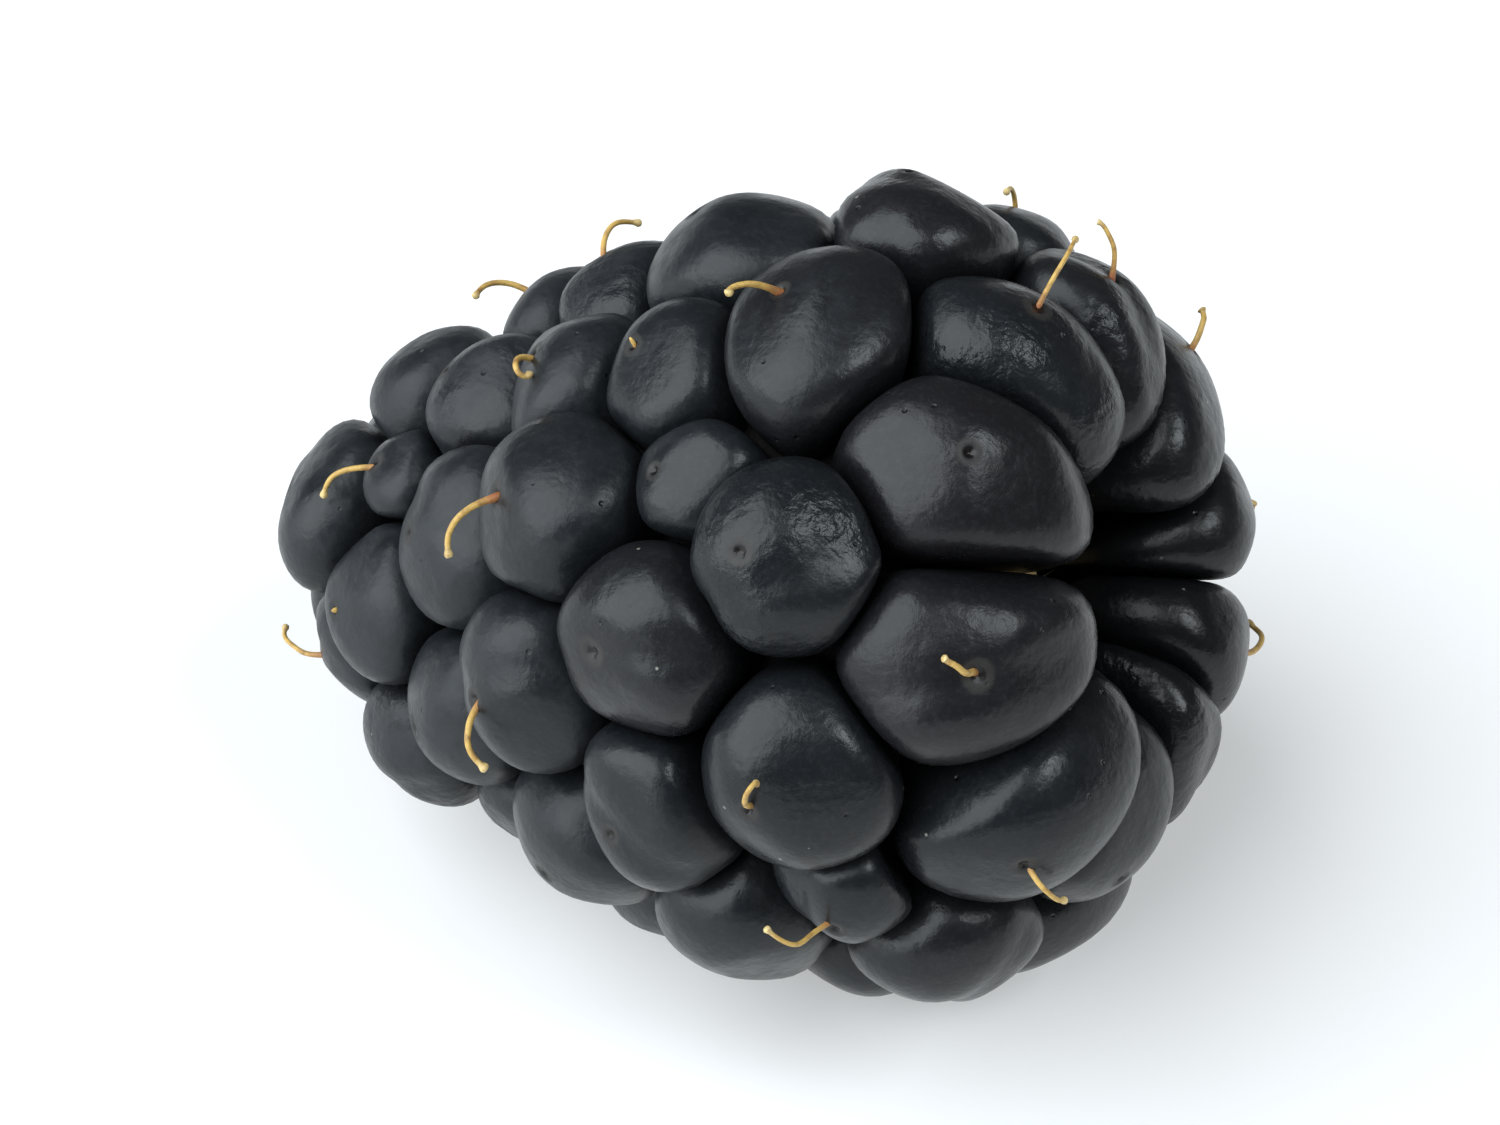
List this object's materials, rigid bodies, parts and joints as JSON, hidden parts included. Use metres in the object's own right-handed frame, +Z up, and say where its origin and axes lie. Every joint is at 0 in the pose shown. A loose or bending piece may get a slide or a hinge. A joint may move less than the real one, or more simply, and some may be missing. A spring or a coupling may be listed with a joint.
{
  "type": "bramble berry",
  "caption": "Ripe bramble berry lying on its side: a head of near-black drupelets packed round a pale receptacle, many with a dry thread-like style.",
  "frame": {"origin": "middle of the box, on the surface that the berry rests on", "axes": "+X towards the stem end, +Z up from the surface, the tip low at -X"},
  "size_m": [0.0316, 0.0276, 0.025],
  "materials": {
    "drupelets": "near-black satin fruit skin, blue-black to purple-black, with dry gold-brown styles",
    "receptacle": "dull tan plant tissue"
  },
  "bodies": {
    "root": {"drupelets": "drupelets", "receptacle": "receptacle"}
  },
  "joints": []
}
